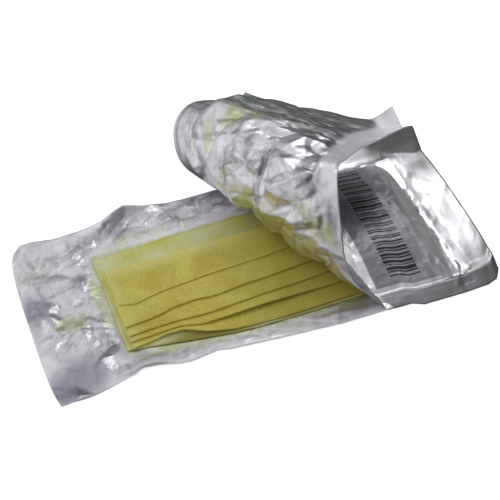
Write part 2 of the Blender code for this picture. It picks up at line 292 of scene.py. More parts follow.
def facets(u, v, table):
    """Relief of crumpled patches: flat facets between random points, with sharp creases where they meet.

    Each patch has a seed, a box (u0, v0, u1, v1), a heading, the facets' length and width, the points' height and
    the distance from the box's border at which it reaches its full height.
    """
    total = np.zeros_like(u)
    for seed, box, heading, length, width, height, soft in table:
        draw = np.random.default_rng(seed)
        c, s = math.cos(math.radians(heading)), math.sin(math.radians(heading))
        middle_u, middle_v = (box[0] + box[2]) / 2, (box[1] + box[3]) / 2
        reach = math.hypot(box[2] - box[0], box[3] - box[1]) / 2
        steps_a, steps_b = math.ceil(reach / length) + 2, math.ceil(reach / width) + 2
        a, b = np.meshgrid(np.arange(-steps_a, steps_a + 1.0), np.arange(-steps_b, steps_b + 1.0))
        a, b = a.ravel() + draw.uniform(-0.45, 0.45, a.size), b.ravel() + draw.uniform(-0.45, 0.45, b.size)
        high = draw.normal(0.0, 1.0, a.size)
        point_u = middle_u + a * length * c - b * width * s
        point_v = middle_v + a * length * s + b * width * c
        inwards = np.minimum(
            np.minimum(point_u - box[0], box[2] - point_u), np.minimum(point_v - box[1], box[3] - point_v)
        )
        high *= height * smooth(inwards / soft)
        keep = inwards > -1.5 * max(length, width)
        a, b, high = a[keep], b[keep], high[keep]
        corners, _, faces, origin, _, _ = delaunay_2d_cdt(list(zip(a, b)), [], [], 0, 1e-7)
        own = high[[first[0] for first in origin]]
        corners = np.array(corners)
        along, aside = along_aside(u, v, middle_u, middle_v, heading)
        here_a, here_b = along / length, aside / width
        near = np.flatnonzero((u > box[0]) & (u < box[2]) & (v > box[1]) & (v < box[3]))
        order = near[np.argsort(here_a.flat[near])]
        sorted_a, sorted_b = here_a.flat[order], here_b.flat[order]
        for face in faces:
            (a0, b0), (a1, b1), (a2, b2) = corners[list(face)]
            area = (b1 - b2) * (a0 - a2) + (a2 - a1) * (b0 - b2)
            if abs(area) < 1e-9:
                continue
            first, last = np.searchsorted(sorted_a, (min(a0, a1, a2), max(a0, a1, a2)))
            part_a, part_b = sorted_a[first:last] - a2, sorted_b[first:last] - b2
            share_0 = ((b1 - b2) * part_a + (a2 - a1) * part_b) / area
            share_1 = ((b2 - b0) * part_a + (a0 - a2) * part_b) / area
            inside = (share_0 >= 0) & (share_1 >= 0) & (share_0 + share_1 <= 1)
            share_0, share_1 = share_0[inside], share_1[inside]
            h0, h1, h2 = own[list(face)]
            total.flat[order[first:last][inside]] += h0 * share_0 + h1 * share_1 + h2 * (1 - share_0 - share_1)
    return total


def radiating(seed, count, centre, near, far, reach, height):
    """Creases that run out from a centre, between two distances."""
    draw = np.random.default_rng(seed)
    rows = []
    for i in range(count):
        angle = 360 * (i + draw.uniform(-0.3, 0.3)) / count
        first, last = near * draw.uniform(0.6, 1.6), far * draw.uniform(0.55, 1.1)
        middle = (first + last) / 2
        u = centre[0] + middle * math.cos(math.radians(angle))
        v = centre[1] + middle * math.sin(math.radians(angle))
        sign = 1.0 if i % 2 else -1.0
        rows.append((u, v, angle, (last - first) / 2, draw.uniform(*reach), sign * draw.uniform(*height)))
    return rows


# Crumpled patches: seed, box (u0, v0, u1, v1), heading, facet length and width, height, soft border
BACK_FACETS = [
    (3, (-141, -66, -84, 66), 30, 17.0, 12.0, 1.05, 6),
    (4, (-138, -56, -84, 64), 50, 9.0, 5.5, 0.38, 8),
    (5, (-104, 34, 46, 65), 28, 10.0, 4.4, 0.48, 4),
    (6, (-96, -66, 62, -42), 4, 17.0, 5.5, 0.30, 4),
    (7, (-116, -54, -78, -14), 100, 10.0, 3.6, 0.16, 6),
    (8, (-140, -66, 62, 66), 20, 5.0, 2.4, 0.07, 5),
    (9, (-140, -66, 62, 66), 66, 22.0, 4.0, 0.15, 5),
    (10, (-140, -66, 62, 66), -24, 26.0, 4.6, 0.15, 5),
]
CRUMPLE_CENTRE = (-115, -7.5)
BACK_CREASES = radiating(6, 12, CRUMPLE_CENTRE, 3, 36, (3, 6), (0.45, 0.85))
BACK_CREASES += radiating(7, 9, CRUMPLE_CENTRE, 2, 24, (2.0, 3.0), (0.25, 0.45))
BACK_CREASES += [
    (-88, -58, 8, 26, 6, 0.8),
    (-128, 12, 95, 30, 7, 1.0),
    (-104, 44, 18, 22, 5, 0.9),
    (-70, 52, 32, 12, 3, 0.9),
    (-38, 55, 22, 14, 3, 0.8),
]
# On the flap a crease that stands out towards the gauze's side has a negative height
FLAP_FACETS = [
    (11, (-141, -64, 46, 62), 30, 22.0, 14.0, 1.75, 8),
    (12, (-100, -64, 30, 58), 70, 10.0, 6.5, 0.68, 8),
    (13, (-68, -22, -30, 14), 20, 6.0, 4.0, 0.62, 6),
    (14, (-72, -64, -4, -40), 30, 8.0, 4.6, 0.40, 5),
    (15, (-66, 36, -30, 62), 40, 6.0, 4.0, 0.52, 5),
    (16, (-132, -62, -72, 62), 92, 18.0, 3.4, 0.26, 8),
    (17, (-112, -69, 4, -42), 8, 13.0, 4.2, 0.60, 4),
    (18, (-140, -62, 46, 62), 110, 22.0, 4.8, 0.12, 5),
    (19, (-140, -62, 46, 62), 22, 26.0, 5.4, 0.12, 5),
]
FLAP_CREASES = [
    (-50.0, -17.5, 22, 7, 1.6, 2.2),
    (-43.0, -14.5, -12, 6, 2.0, 2.8),
    (-35.0, -13.0, 16, 9, 1.6, 2.2),
    (-24.0, -10.5, 6, 11, 1.5, 1.4),
    (-43.5, 6.5, -54, 12, 4.0, -1.7),
    (-37.0, -6.0, -79, 8, 3.5, -1.4),
    (-27.0, -8.0, 15, 13, 3.0, -1.1),
    (-34.0, 19.0, 18, 20, 2.2, 1.1),
    (-41.5, -30.0, -43, 12, 5.0, -1.8),
    (-37.0, -42.5, 73, 10, 4.0, -1.5),
    (-22.0, -26.0, -62, 14, 5.0, -1.4),
    (-8.0, -20.0, 96, 30, 6.0, -0.9),
    (6.0, 5.0, 84, 34, 5.0, 0.8),
]
COVER_FACETS = [
    (21, (56, -56, 116, 56), 80, 16.0, 9.0, 0.22, 6),
    (22, (56, -56, 118, 56), 20, 4.2, 3.2, 0.12, 5),
    (23, (88, 14, 120, 54), 70, 8.0, 4.6, 0.55, 5),
    (24, (97, -54, 120, 24), 90, 8.0, 4.0, 0.42, 4),
    (25, (111, -55, 123, 55), 84, 6.5, 2.6, 0.50, 2),
]
COVER_CREASES = [(118, 0, 90, 54, 3, 0.7)]
SEAL_FACETS = [
    (31, (112, -70, 146, 70), 92, 44.0, 9.0, 0.20, 3),
    (32, (60, -70, 146, -52), 2, 18.0, 4.0, 0.16, 3),
    (33, (60, 52, 146, 70), 2, 18.0, 4.0, 0.14, 3),
    (34, (109, -60, 125, 60), 86, 6.0, 2.8, 0.26, 2),
    (35, (112, -70, 146, 70), 60, 9.0, 5.0, 0.08, 3),
]


def gauze_distance(x, y):
    """Distance from the gauze's outline, 0 on it."""
    left = GAUZE_RIGHT_X - BASE_LENGTH
    aside = np.maximum(np.maximum(left - x, x - GAUZE_RIGHT_X), 0.0)
    near = np.minimum(gauze_edge("base", x), gauze_edge("d1", x))
    above = np.maximum(np.maximum(near - y, y - BASE_FAR_Y), 0.0)
    return np.hypot(aside, above)


def sealed_share(u, v):
    """1 where the two foils are sealed to each other, 0 where they are free."""
    across = v / POUCH_WIDTH + 0.5
    side = smooth((np.abs(v) - HALF_WIDTH + SIDE_SEAL) / 3)
    end = smooth((u - HALF_LENGTH + END_SEAL) / 3)
    return np.maximum(side, end) * smooth((u - peel_x(across)) / 8)


def seal_relief(u, v):
    """Waves that both foils share in the seals. The end seal is highest in its middle, and the near one slants."""
    end = 1.8 * (1 - (v / HALF_WIDTH) ** 2) * smooth((u - HALF_LENGTH + END_SEAL) / 8)
    near = 0.09 * np.clip(v + HALF_WIDTH, 0.0, SIDE_SEAL) * (1 - smooth((v + HALF_WIDTH - SIDE_SEAL) / 8))
    return 0.5 + end + near + facets(u, v, SEAL_FACETS)


def grid_normals(points):
    """Unit normals of a grid of points, up where it lies."""
    along = np.gradient(points, axis=0)
    across = np.gradient(points, axis=1)
    normal = np.cross(along, across)
    return normal / np.linalg.norm(normal, axis=-1, keepdims=True)


def crease_sharpness(relief):
    """How sharply the relief bends at each point, from 0 on a flat facet to 1 on a hard crease."""
    bend = np.zeros_like(relief)
    bend[1:-1] += np.abs(relief[2:] - 2 * relief[1:-1] + relief[:-2])
    bend[:, 1:-1] += np.abs(relief[:, 2:] - 2 * relief[:, 1:-1] + relief[:, :-2])
    hard = np.pad(np.clip(bend / 0.30 - 0.30, 0.0, 1.0), 1, mode="edge")
    return (hard[:-2, 1:-1] + hard[2:, 1:-1] + hard[1:-1, :-2] + hard[1:-1, 2:] + 6 * hard[1:-1, 1:-1]) / 10


def back_foil_points():
    """Middle surface of the back foil, its flat coordinates and its creases."""
    across = np.linspace(0.0, 1.0, BACK_GRID[1])
    stations = np.linspace(-HALF_LENGTH, HALF_LENGTH, BACK_GRID[0])
    points = np.array([lying(np.full_like(across, x), across, LYING_Z) for x in stations])
    u = np.repeat(stations[:, None], len(across), axis=1)
    v = np.repeat((across[None, :] - 0.5) * POUCH_WIDTH, len(stations), axis=0)
    x, y = points[..., 0], points[..., 1]
    room = 0.12 + 0.88 * smooth(gauze_distance(x, y) / CRUMPLE_ROOM)
    crumple = np.maximum(1.3 + ridges(u, v, BACK_CREASES) + facets(u, v, BACK_FACETS), 0.0) * room
    sealed = sealed_share(u, v)
    relief = crumple * (1 - sealed) + seal_relief(u, v) * sealed
    relief = np.where(u > peel_x(0.5) + 20, np.minimum(relief, UNDER_GAUZE), relief)
    points[..., 2] += np.maximum(relief, 0.0)
    return (points, u, v), crease_sharpness(relief)


def front_foil_points():
    """Middle surface of the front foil, its flat coordinates and its creases, with rows from the free end on."""
    across = np.linspace(0.0, 1.0, FRONT_COLUMNS)
    flap_rows, cover_rows = FRONT_ROWS["flap"], FRONT_ROWS["cover"]
    foot, seal = GAUZE_RIGHT_X + 0.9, HALF_LENGTH - END_SEAL
    cover = cover_share(across) * (CREST_Z - SEALED_Z)
    shares = np.linspace(0.0, 1.0, flap_rows + 1)
    lines = rails(shares)
    over = SEALED_Z + cover - across_rails(lines[:, 0], across)[:, 2]
    rows, flat = [], []
    for row, share in enumerate(shares):
        points = across_rails(lines[:, row], across)
        points[:, 2] += over * (1 - smooth(share / 0.3))
        tip = np.clip((share - 1) / TIP_LENGTH + 1 - across / TIP_WIDTH, 0.0, 1.0) ** 1.2
        points += np.outer(tip, (-TIP_BACK, 0.0, TIP_RISE))
        lip = np.interp(share, *np.transpose(LIP)) * np.clip(1 - across / LIP_WIDTH, 0.0, 1.0) ** 1.4
        points += np.outer(lip, LIP_WAY)
        rows.insert(0, points)
        flat.insert(0, peel_x(across) - share * (peel_x(across) + HALF_LENGTH))
    for i in range(1, cover_rows):
        x = peel_x(across) + (foot - peel_x(across)) * i / cover_rows
        rows.append(lying(x, across, SEALED_Z + cover))
        flat.append(x)
    for x in np.linspace(foot, HALF_LENGTH, FRONT_ROWS["end"]):
        down = smooth((seal - x) / (seal - foot))
        rows.append(lying(np.full_like(across, x), across, SEALED_Z + down * cover))
        flat.append(np.full_like(across, x))
    points, u = np.array(rows), np.array(flat)
    v = np.repeat((across[None, :] - 0.5) * POUCH_WIDTH, len(rows), axis=0)
    inner = smooth((HALF_WIDTH - SIDE_SEAL + 1 - np.abs(v)) / 3)
    peeled = smooth((peel_x(v / POUCH_WIDTH + 0.5) - u) / 12)
    sealed = sealed_share(u, v)
    flap = (ridges(u, v, FLAP_CREASES) + facets(u, v, FLAP_FACETS)) * (0.55 + 0.45 * inner) * peeled
    covering = np.maximum(ridges(u, v, COVER_CREASES) + facets(u, v, COVER_FACETS), -0.3)
    covering = covering * inner * (1 - peeled) * (1 - sealed)
    relief = flap + covering + seal_relief(u, v) * np.maximum(sealed, (1 - inner) * (1 - peeled))
    return (points + grid_normals(points) * relief[..., None], u, v), crease_sharpness(relief)


def base_points():
    """Middle surface of the gauze's base ply, and its flat coordinates."""
    x = np.linspace(GAUZE_RIGHT_X - BASE_LENGTH, GAUZE_RIGHT_X, BASE_GRID[0])[:, None]
    share = np.linspace(0.0, 1.0, BASE_GRID[1])[None, :]
    near = gauze_edge("base", x)
    far = BASE_FAR_Y - 0.03 * BASE_WIDTH * smooth(-x / HALF_LENGTH) + 0.25 * np.sin(x / 2.7) * np.sin(x / 7.9)
    y = near + share * (far - near)
    x = x + 0 * y
    wave = 0.12 * np.sin(x / 7 + 0.2 * y) + 0.1 * np.sin(x / 3.1 - y / 5)
    z = BASE_Z + table_rise(x, y) + wave * smooth((np.abs(y + 8) - 34) / 8)
    return np.stack([x, y, z], axis=-1), x, y


def web_row(x, share):
    """Points of the folded web at one place along it, over all its plies and folds."""
    folds = ["d1", "d2", "c", "b", "a"]
    radius = PITCH / 2
    points = []
    for ply in range(WEB_PLIES):
        z = WEB_Z + ply * PITCH
        near = gauze_edge(folds[ply // 2], x)
        near_end = near if ply == WEB_PLIES - 1 else near + radius + PLY / 2
        far_end = WEB_FAR_Y - radius - PLY / 2 - FOLD_STEP * (ply % 3)
        ends = (far_end, near_end) if ply % 2 == 0 else (near_end, far_end)
        cells = TOP_CELLS if ply == WEB_PLIES - 1 else PLY_CELLS
        for y in np.linspace(ends[0], ends[1], cells + 1):
            points.append((y, z, ply))
        if ply == WEB_PLIES - 1:
            break
        side = -1 if ply % 2 == 0 else 1
        next_end = ends[1] if side < 0 else WEB_FAR_Y - radius - PLY / 2 - FOLD_STEP * ((ply + 1) % 3)
        for i in range(1, FOLD_CELLS):
            turn = np.pi * i / FOLD_CELLS
            y = ends[1] + (next_end - ends[1]) * i / FOLD_CELLS + side * radius * np.sin(turn)
            points.append((y, z + radius * (1 - np.cos(turn)), ply + i / FOLD_CELLS))
    y, z, ply = np.array(points).T
    lift = gape(np.round(ply), x, y)
    stagger = END_STEP * (1 - share) * np.sin(1.7 * ply)
    return np.stack([x + stagger, y, z + lift + table_rise(np.full_like(y, x), y)], axis=-1)


def web_points():
    """Middle surface of the folded web, and its flat coordinates."""
    shares = np.linspace(0.0, 1.0, WEB_ROWS)
    points = np.array([web_row(GAUZE_RIGHT_X - WEB_LENGTH * (1 - share), share) for share in shares])
    steps = np.linalg.norm(np.diff(points, axis=1), axis=-1)
    v = np.concatenate([np.zeros((len(shares), 1)), np.cumsum(steps, axis=1)], axis=1)
    u = points[..., 0].copy()
    x, y = points[..., 0], points[..., 1]
    wave = 0.10 * np.sin(x / 9 + 0.15 * y) + 0.08 * np.sin(x / 4.3 - y / 4) + 0.05 * np.sin(y / 1.9 + x / 21)
    points[..., 2] += 0.1 + wave
    return points, u, v


# ---------------------------------------------------------------- meshes
def put(name, data):
    """A new object in the scene."""
    made = bpy.data.objects.new(name, data)
    bpy.context.scene.collection.objects.link(made)
    return made


def sheet_piece(name, grid, thickness, materials, marks=None):
    """A sheet through a grid of points with its flat coordinates as a UV map in metres, thickened by Solidify."""
    points, u, v = grid
    rows, columns = points.shape[:2]
    index = np.arange(rows * columns).reshape(rows, columns)
    faces = np.stack([index[:-1, :-1], index[1:, :-1], index[1:, 1:], index[:-1, 1:]], axis=-1).reshape(-1, 4)
    mesh = bpy.data.meshes.new(name)
    mesh.from_pydata((points.reshape(-1, 3) * MM).tolist(), [], faces.tolist())
    flat = np.stack([u.ravel(), v.ravel()], axis=-1) * MM
    layer = mesh.uv_layers.new(name="flat")
    layer.data.foreach_set("uv", flat[faces.ravel()].astype(np.float32).ravel())
    for label, values in (marks or {}).items():
        mark = mesh.attributes.new(label, "FLOAT", "POINT")
        mark.data.foreach_set("value", values.astype(np.float32).ravel())
    for surface in materials:
        mesh.materials.append(surface)
    mesh.shade_smooth()
    made = put(name, mesh)
    wall = made.modifiers.new("wall", "SOLIDIFY")
    wall.thickness = thickness * MM
    wall.offset = 0.0
    wall.use_even_offset = False
    wall.material_offset = len(materials) - 1
    wall.material_offset_rim = 0
    return made


def patches(u, v, table):
    """Strength of soft spots: each has a middle, two radii, a heading and a strength."""
    total = np.zeros_like(u)
    for middle_u, middle_v, long, short, heading, strength in table:
        along, aside = along_aside(u, v, middle_u, middle_v, heading)
        total = np.maximum(total, strength * smooth(1.4 * (1 - np.hypot(along / long, aside / short))))
    return total


def dark_reflection_share(u, v):
    """Painted dark reflection: where the front foil is coloured greyer than its bright middle, in place of the dark
    surroundings it would reflect: the flap's far part, the seals and the curb.
    """
    flap = smooth((-73 + 0.3 * np.minimum(v, 0.0) - u) / 7) * smooth((v + 48) / 10)
    covering = smooth((u - 55) / 10)
    near = 0.92 * smooth((-52.0 - v) / 3)
    end = (0.68 * smooth((v - 20) / 20) + 0.62 * smooth((-28 - v) / 16)) * smooth((u - 120) / 4)
    curb = 0.70 * smooth((v - 50) / 4) * smooth((u - 100) / 10)
    return np.maximum(flap, covering * np.maximum(near, np.maximum(end, curb)))


# ---------------------------------------------------------------- node helpers
def wire(tree, made, inputs):
    """Sets a node's inputs. Each is a value or the socket that feeds it."""
    for name, value in inputs.items():
        if isinstance(value, bpy.types.NodeSocket):
            tree.links.new(value, made.inputs[name])
        else:
            made.inputs[name].default_value = value


def placed(tree, kind, inputs=None, **settings):
    """A node with its settings and inputs."""
    made = tree.nodes.new(kind)
    for name, value in settings.items():
        setattr(made, name, value)
    wire(tree, made, inputs or {})
    return made


def node(tree, kind, inputs=None, **settings):
    """A shader node."""
    return placed(tree, "ShaderNode" + kind, inputs, **settings)


def sums(tree, operation, a, b=0.0, c=0.0, clamp=False):
    """A Math node's result."""
    made = node(tree, "Math", {0: a, 1: b, 2: c}, operation=operation, use_clamp=clamp)
    return made.outputs[0]


def times(tree, a, b):
    """A product."""
    return sums(tree, "MULTIPLY", a, b)


def linear(tree, value, factor, offset, clamp=False):
    """A value times a factor, plus an offset."""
    return sums(tree, "MULTIPLY_ADD", value, factor, offset, clamp)


def vectors(tree, operation, a, b):
    """A Vector Math node's result."""
    second = "Scale" if operation == "SCALE" else 1
    made = node(tree, "VectorMath", {0: a, second: b}, operation=operation)
    return made.outputs["Value" if operation == "DOT_PRODUCT" else "Vector"]


def noise(tree, place, scale, detail, part="Fac", **inputs):
    """A noise's value, or its colour."""
    return node(tree, "TexNoise", {"Vector": place, "Scale": scale, "Detail": detail, **inputs}).outputs[part]


def ramp(tree, value, low, high, **settings):
    """How far a value has come from one limit to the other, from 0 to 1."""
    return node(tree, "MapRange", {"Value": value, "From Min": low, "From Max": high}, **settings).outputs[0]


def band(tree, value, limits, soft):
    """1 where a value lies between two limits, with soft ends."""
    low, high = limits
    return times(tree, ramp(tree, value, low - soft, low + soft), ramp(tree, value, high + soft, high - soft))


def blended(tree, share, a, b):
    """Colour a turning into colour b, by the Mix node's colour sockets."""
    return node(tree, "Mix", {0: share, 6: a, 7: b}, data_type="RGBA").outputs[2]


def feed(tree, shader, inputs, strength, distance, height):
    """Sets a shader's inputs, and its normal by a relief."""
    bump = node(tree, "Bump", {"Strength": strength, "Distance": distance, "Height": height})
    wire(tree, shader, {**inputs, "Normal": bump.outputs[0]})


def effect(name, inputs, outputs):
    """A node group: its tree, its inputs by name and its output node. "Flat" is a vector, the rest are numbers."""
    tree = bpy.data.node_groups.new(name, "ShaderNodeTree")
    tree.interface.new_socket("Flat", in_out="INPUT", socket_type="NodeSocketVector")
    for label, value in inputs.items():
        tree.interface.new_socket(label, in_out="INPUT", socket_type="NodeSocketFloat").default_value = value
    for label in outputs:
        tree.interface.new_socket(label, in_out="OUTPUT", socket_type="NodeSocketFloat")
    return tree, tree.nodes.new("NodeGroupInput").outputs, tree.nodes.new("NodeGroupOutput")


def use(tree, group, inputs):
    """A node group placed in a tree, with its own values."""
    return node(tree, "Group", inputs, node_tree=group).outputs


def surface(name):
    """A new material, its tree and its Principled shader."""
    made = bpy.data.materials.new(name)
    made.use_nodes = True
    return made, made.node_tree, made.node_tree.nodes["Principled BSDF"]


def crinkle_effect():
    """Fine creases of a handled laminate: flat facets at two sizes, each tilted its own way, and a mask of their
    broken crests, which the sealing face uses for painted crease shade.
    """
    tree, inside, out = effect("fine crinkle", {"Size": 0.006, "Amount": 1.0}, ("Height", "Crest"))
    each = sums(tree, "DIVIDE", 1.0, inside["Size"])
    place = vectors(tree, "SCALE", inside["Flat"], each)
    bent = vectors(tree, "ADD", noise(tree, place, 0.6, 3.0, "Color"), place)
    total = None
    for scale, height in ((1.0, 1.0), (2.6, 0.42)):
        cells = node(tree, "TexVoronoi", {"Vector": bent, "Scale": scale}, feature="F1").outputs
        lean = vectors(tree, "SUBTRACT", cells["Color"], (0.5, 0.5, 0.5))
        spot = vectors(tree, "SUBTRACT", bent, cells["Position"])
        tilt = times(tree, vectors(tree, "DOT_PRODUCT", lean, spot), height * scale)
        total = tilt if total is None else sums(tree, "ADD", total, tilt)
    wire(tree, out, {"Height": times(tree, total, inside["Amount"])})
    edge = node(tree, "TexVoronoi", {"Vector": bent, "Scale": 1.0}, feature="DISTANCE_TO_EDGE").outputs["Distance"]
    broken = ramp(tree, noise(tree, place, 0.9, 2.0), 0.46, 0.60)
    crest = times(tree, ramp(tree, edge, 0.07, 0.0), broken)
    wire(tree, out, {"Crest": times(tree, crest, inside["Amount"])})
    return tree


def oil_effect():
    """Where petrolatum has wetted the surface: a painted strength broken up by blots."""
    tree, inside, out = effect("oil film", {"Strength": 0.0}, ("Cover", "Depth"))
    blots = noise(tree, inside["Flat"], 190.0, 5.0, Roughness=0.65)
    wide = noise(tree, inside["Flat"], 60.0, 3.0)
    mixed = sums(tree, "ADD", times(tree, blots, 0.5), times(tree, wide, 0.5))
    level = sums(tree, "ADD", inside["Strength"], times(tree, sums(tree, "SUBTRACT", mixed, 0.5), 2.2))
    cover = ramp(tree, level, 0.20, 1.05, interpolation_type="SMOOTHSTEP")
    wire(tree, out, {"Cover": cover, "Depth": times(tree, cover, blots)})
    return tree


def weave_effect():
    """Plain weave of fine gauze: yarns over and under each other, with uneven spacing."""
    tree, inside, out = effect("gauze weave", {"Pitch": 0.0008}, ("Height", "Yarn", "Shade"))
    moved = vectors(tree, "SUBTRACT", noise(tree, inside["Flat"], 220.0, 2.0, "Color"), (0.5, 0.5, 0.5))
    place = vectors(tree, "ADD", inside["Flat"], vectors(tree, "SCALE", moved, 0.0006))
    place = vectors(tree, "SCALE", place, sums(tree, "DIVIDE", math.pi, inside["Pitch"]))
    parts = node(tree, "SeparateXYZ", {0: place}).outputs
    sin_u, sin_v = sums(tree, "SINE", parts[0]), sums(tree, "SINE", parts[1])
    warp = sums(tree, "SQRT", sums(tree, "ABSOLUTE", sin_v))
    weft = sums(tree, "SQRT", sums(tree, "ABSOLUTE", sin_u))
    cos_u, cos_v = sums(tree, "COSINE", parts[0]), sums(tree, "COSINE", parts[1])
    over = linear(tree, times(tree, cos_u, cos_v), 0.5, 0.5)
    under = sums(tree, "SUBTRACT", 1.0, over)
    height = sums(tree, "MAXIMUM", times(tree, warp, over), times(tree, weft, under))
    fluff = noise(tree, inside["Flat"], 2600.0, 2.0)
    shade = 0.0
    for stretch in ((0.3, 1.0, 1.0), (1.0, 0.3, 1.0)):
        slub = noise(tree, vectors(tree, "MULTIPLY", inside["Flat"], stretch), 1100.0, 3.0)
        shade = linear(tree, slub, 0.5, shade)
    wire(tree, out, {"Height": linear(tree, fluff, 0.35, height), "Yarn": height, "Shade": shade})
    return tree


crinkle = crinkle_effect()
oil = oil_effect()
weave = weave_effect()


def flat_of(tree):
    """The piece's own flat coordinates."""
    return node(tree, "UVMap", uv_map="flat").outputs[0]


def mark_of(tree, name):
    """A mark that the mesh carries."""
    return node(tree, "Attribute", attribute_name=name).outputs["Fac"]


# Colours. A pair runs from one end of a noise to the other.
SATIN = (0.76, 0.75, 0.80, 1), (0.86, 0.85, 0.87, 1)
STAIN = (0.66, 0.69, 0.50, 1), (0.52, 0.56, 0.29, 1)
FOIL_SHADE_GREY = (0.38, 0.37, 0.44, 1)
DARK_REFLECTION_INSIDE = (0.17, 0.21, 0.19, 1)
INNER_CREASE_SHADE = (0.17, 0.17, 0.18, 1)
FROST = (0.90, 0.89, 0.93, 1)
BRIGHT = (0.82, 0.81, 0.84, 1), (0.93, 0.92, 0.93, 1)
LACQUER = (0.27, 0.27, 0.30, 1), (0.35, 0.35, 0.37, 1)
LACQUER_SLOPE_LIGHT = (0.58, 0.58, 0.60, 1)
DARK_REFLECTION_OUTSIDE = (0.16, 0.16, 0.17, 1)
OUTER_CREASE_SHADE = (0.20, 0.20, 0.21, 1)
INK = (0.015, 0.014, 0.018, 1)
SOAKED = (0.89, 0.81, 0.18, 1), (0.69, 0.57, 0.07, 1)
PALE = (0.94, 0.95, 0.64, 1), (0.74, 0.75, 0.14, 1)
THIN_FILM = (0.88, 0.90, 0.38, 1)
DEEP_SHADE = (0.34, 0.27, 0.03, 1)
YARN = (0.86, 0.78, 0.20, 1), (0.62, 0.52, 0.08, 1)

# Sizes in the materials, in metres: facets of the fine crinkle, the weave's pitch, and the heights of the reliefs
INNER_CRINKLE, OUTER_CRINKLE = 0.0034, 0.0050
WEAVE_PITCH = 0.00095
INNER_RELIEF, OUTER_RELIEF, WEAVE_RELIEF, YARN_RELIEF = 0.00038, 0.00036, 0.00030, 0.00004

# The grey panel and its bars in the front foil's flat coordinates, in metres
PANEL_U, PANEL_V = (0.062, 0.1155), (-0.050, 0.053)
# Where the panel slopes down to the seal; its lacquer there is painted lighter, as painted light.
SLOPE_U = (0.102, 0.118)
BARS_U, BARS_V = (0.0735, 0.0925), (-0.0445, 0.0490)
BAR_CELL = 0.0050


def foil_inside():
    """The sealing face of the laminate: silver with a lilac cast, satin, wetted by petrolatum in places."""
    made, tree, shader = surface("foil_sealing_face")
    flat = flat_of(tree)
    fine = use(tree, crinkle, {"Flat": flat, "Size": INNER_CRINKLE, "Amount": mark_of(tree, "crumple")})
    wet = use(tree, oil, {"Flat": flat, "Strength": mark_of(tree, "oil")})
    cast = noise(tree, flat, 26.0, 3.0)
    # Painted shade: grey patches on crumpled facets and on the front foil's side seal margins, where dark surroundings
    # would show.
    foil_shade = blended(tree, mark_of(tree, "foil_shade"), blended(tree, cast, *SATIN), FOIL_SHADE_GREY)
    wetted = blended(tree, wet["Cover"], foil_shade, blended(tree, wet["Depth"], *STAIN))
    streaks = noise(tree, vectors(tree, "MULTIPLY", flat, (1.0, 0.22, 1.0)), 420.0, 4.0)
    streak = linear(tree, ramp(tree, streaks, 0.66, 0.42), 0.62, 0.12)
    # Painted dark reflection: fibrous dark grey streaks on the flap's far band, which is also rougher.
    reflection_darkened = blended(tree, times(tree, mark_of(tree, "dark_reflection"), streak), wetted, DARK_REFLECTION_INSIDE)
    # Painted shade: the sharp creases of the relief and the crinkle's crests are darkened towards near-black.
    line = sums(tree, "MAXIMUM", mark_of(tree, "crease"), times(tree, fine["Crest"], 0.5))
    crease_shaded = blended(tree, times(tree, line, 0.58), reflection_darkened, INNER_CREASE_SHADE)
    frost = linear(tree, streaks, 0.5, 0.65, clamp=True)
    frost = times(tree, mark_of(tree, "frost"), frost)
    rough = linear(tree, cast, 0.12, 0.29)
    rough = linear(tree, mark_of(tree, "dark_reflection"), 0.12, rough)
    feed(tree, shader, {
        "Base Color": blended(tree, frost, crease_shaded, FROST),
        "Metallic": linear(tree, frost, -0.8, 1.0),
        "Roughness": linear(tree, wet["Cover"], 0.04, rough),
    }, 1.0, INNER_RELIEF, fine["Height"])
    return made


def foil_outside():
    """The printed face: bright foil with a grey lacquer panel and a generic pattern of bars over the dressing."""
    made, tree, shader = surface("foil_printed_face")
    flat = flat_of(tree)
    parts = node(tree, "SeparateXYZ", {0: flat}).outputs
    fine = use(tree, crinkle, {"Flat": flat, "Size": OUTER_CRINKLE, "Amount": mark_of(tree, "crumple")})
    panel = times(tree, band(tree, parts[0], PANEL_U, 0.0004), band(tree, parts[1], PANEL_V, 0.0004))
    place = sums(tree, "DIVIDE", parts[1], BAR_CELL)
    draw = node(tree, "TexWhiteNoise", {"W": sums(tree, "FLOOR", place)}, noise_dimensions="1D").outputs
    hues = node(tree, "SeparateColor", {0: draw["Color"]}).outputs
    within = sums(tree, "FRACT", place)
    first = sums(tree, "LESS_THAN", within, linear(tree, hues[0], 0.36, 0.14))
    apart = sums(tree, "ABSOLUTE", sums(tree, "SUBTRACT", within, 0.76))
    second = sums(tree, "LESS_THAN", apart, linear(tree, hues[1], 0.09, 0.05))
    dark = sums(tree, "MAXIMUM", first, second)
    bars = times(tree, band(tree, parts[0], BARS_U, 0.0002), band(tree, parts[1], BARS_V, 0.0002))
    ink = times(tree, dark, bars)
    cast = noise(tree, flat, 30.0, 3.0)
    # Painted dark reflection: the seals, the near strip and the curb are greyed.
    metal = blended(tree, mark_of(tree, "dark_reflection"), blended(tree, cast, *BRIGHT), DARK_REFLECTION_OUTSIDE)
    # Painted light: on the slope down to the seal the lacquer is lighter and less metallic, against the dark it would
    # reflect there.
    slope = times(tree, panel, band(tree, parts[0], SLOPE_U, 0.003))
    lacquer = blended(tree, slope, blended(tree, cast, *LACQUER), LACQUER_SLOPE_LIGHT)
    colour = blended(tree, panel, metal, lacquer)
    # Painted shade: sharp creases are darkened.
    colour = blended(tree, times(tree, mark_of(tree, "crease"), 0.35), colour, OUTER_CREASE_SHADE)
    metallic = linear(tree, panel, -0.35, 1.0)
    metallic = linear(tree, slope, -0.30, metallic)
    rough = linear(tree, cast, 0.10, 0.30)
    feed(tree, shader, {
        "Base Color": blended(tree, ink, colour, INK),
        "Metallic": linear(tree, ink, -0.50, metallic),
        "Roughness": linear(tree, panel, 0.04, rough),
    }, 1.0, OUTER_RELIEF, fine["Height"])
    return made


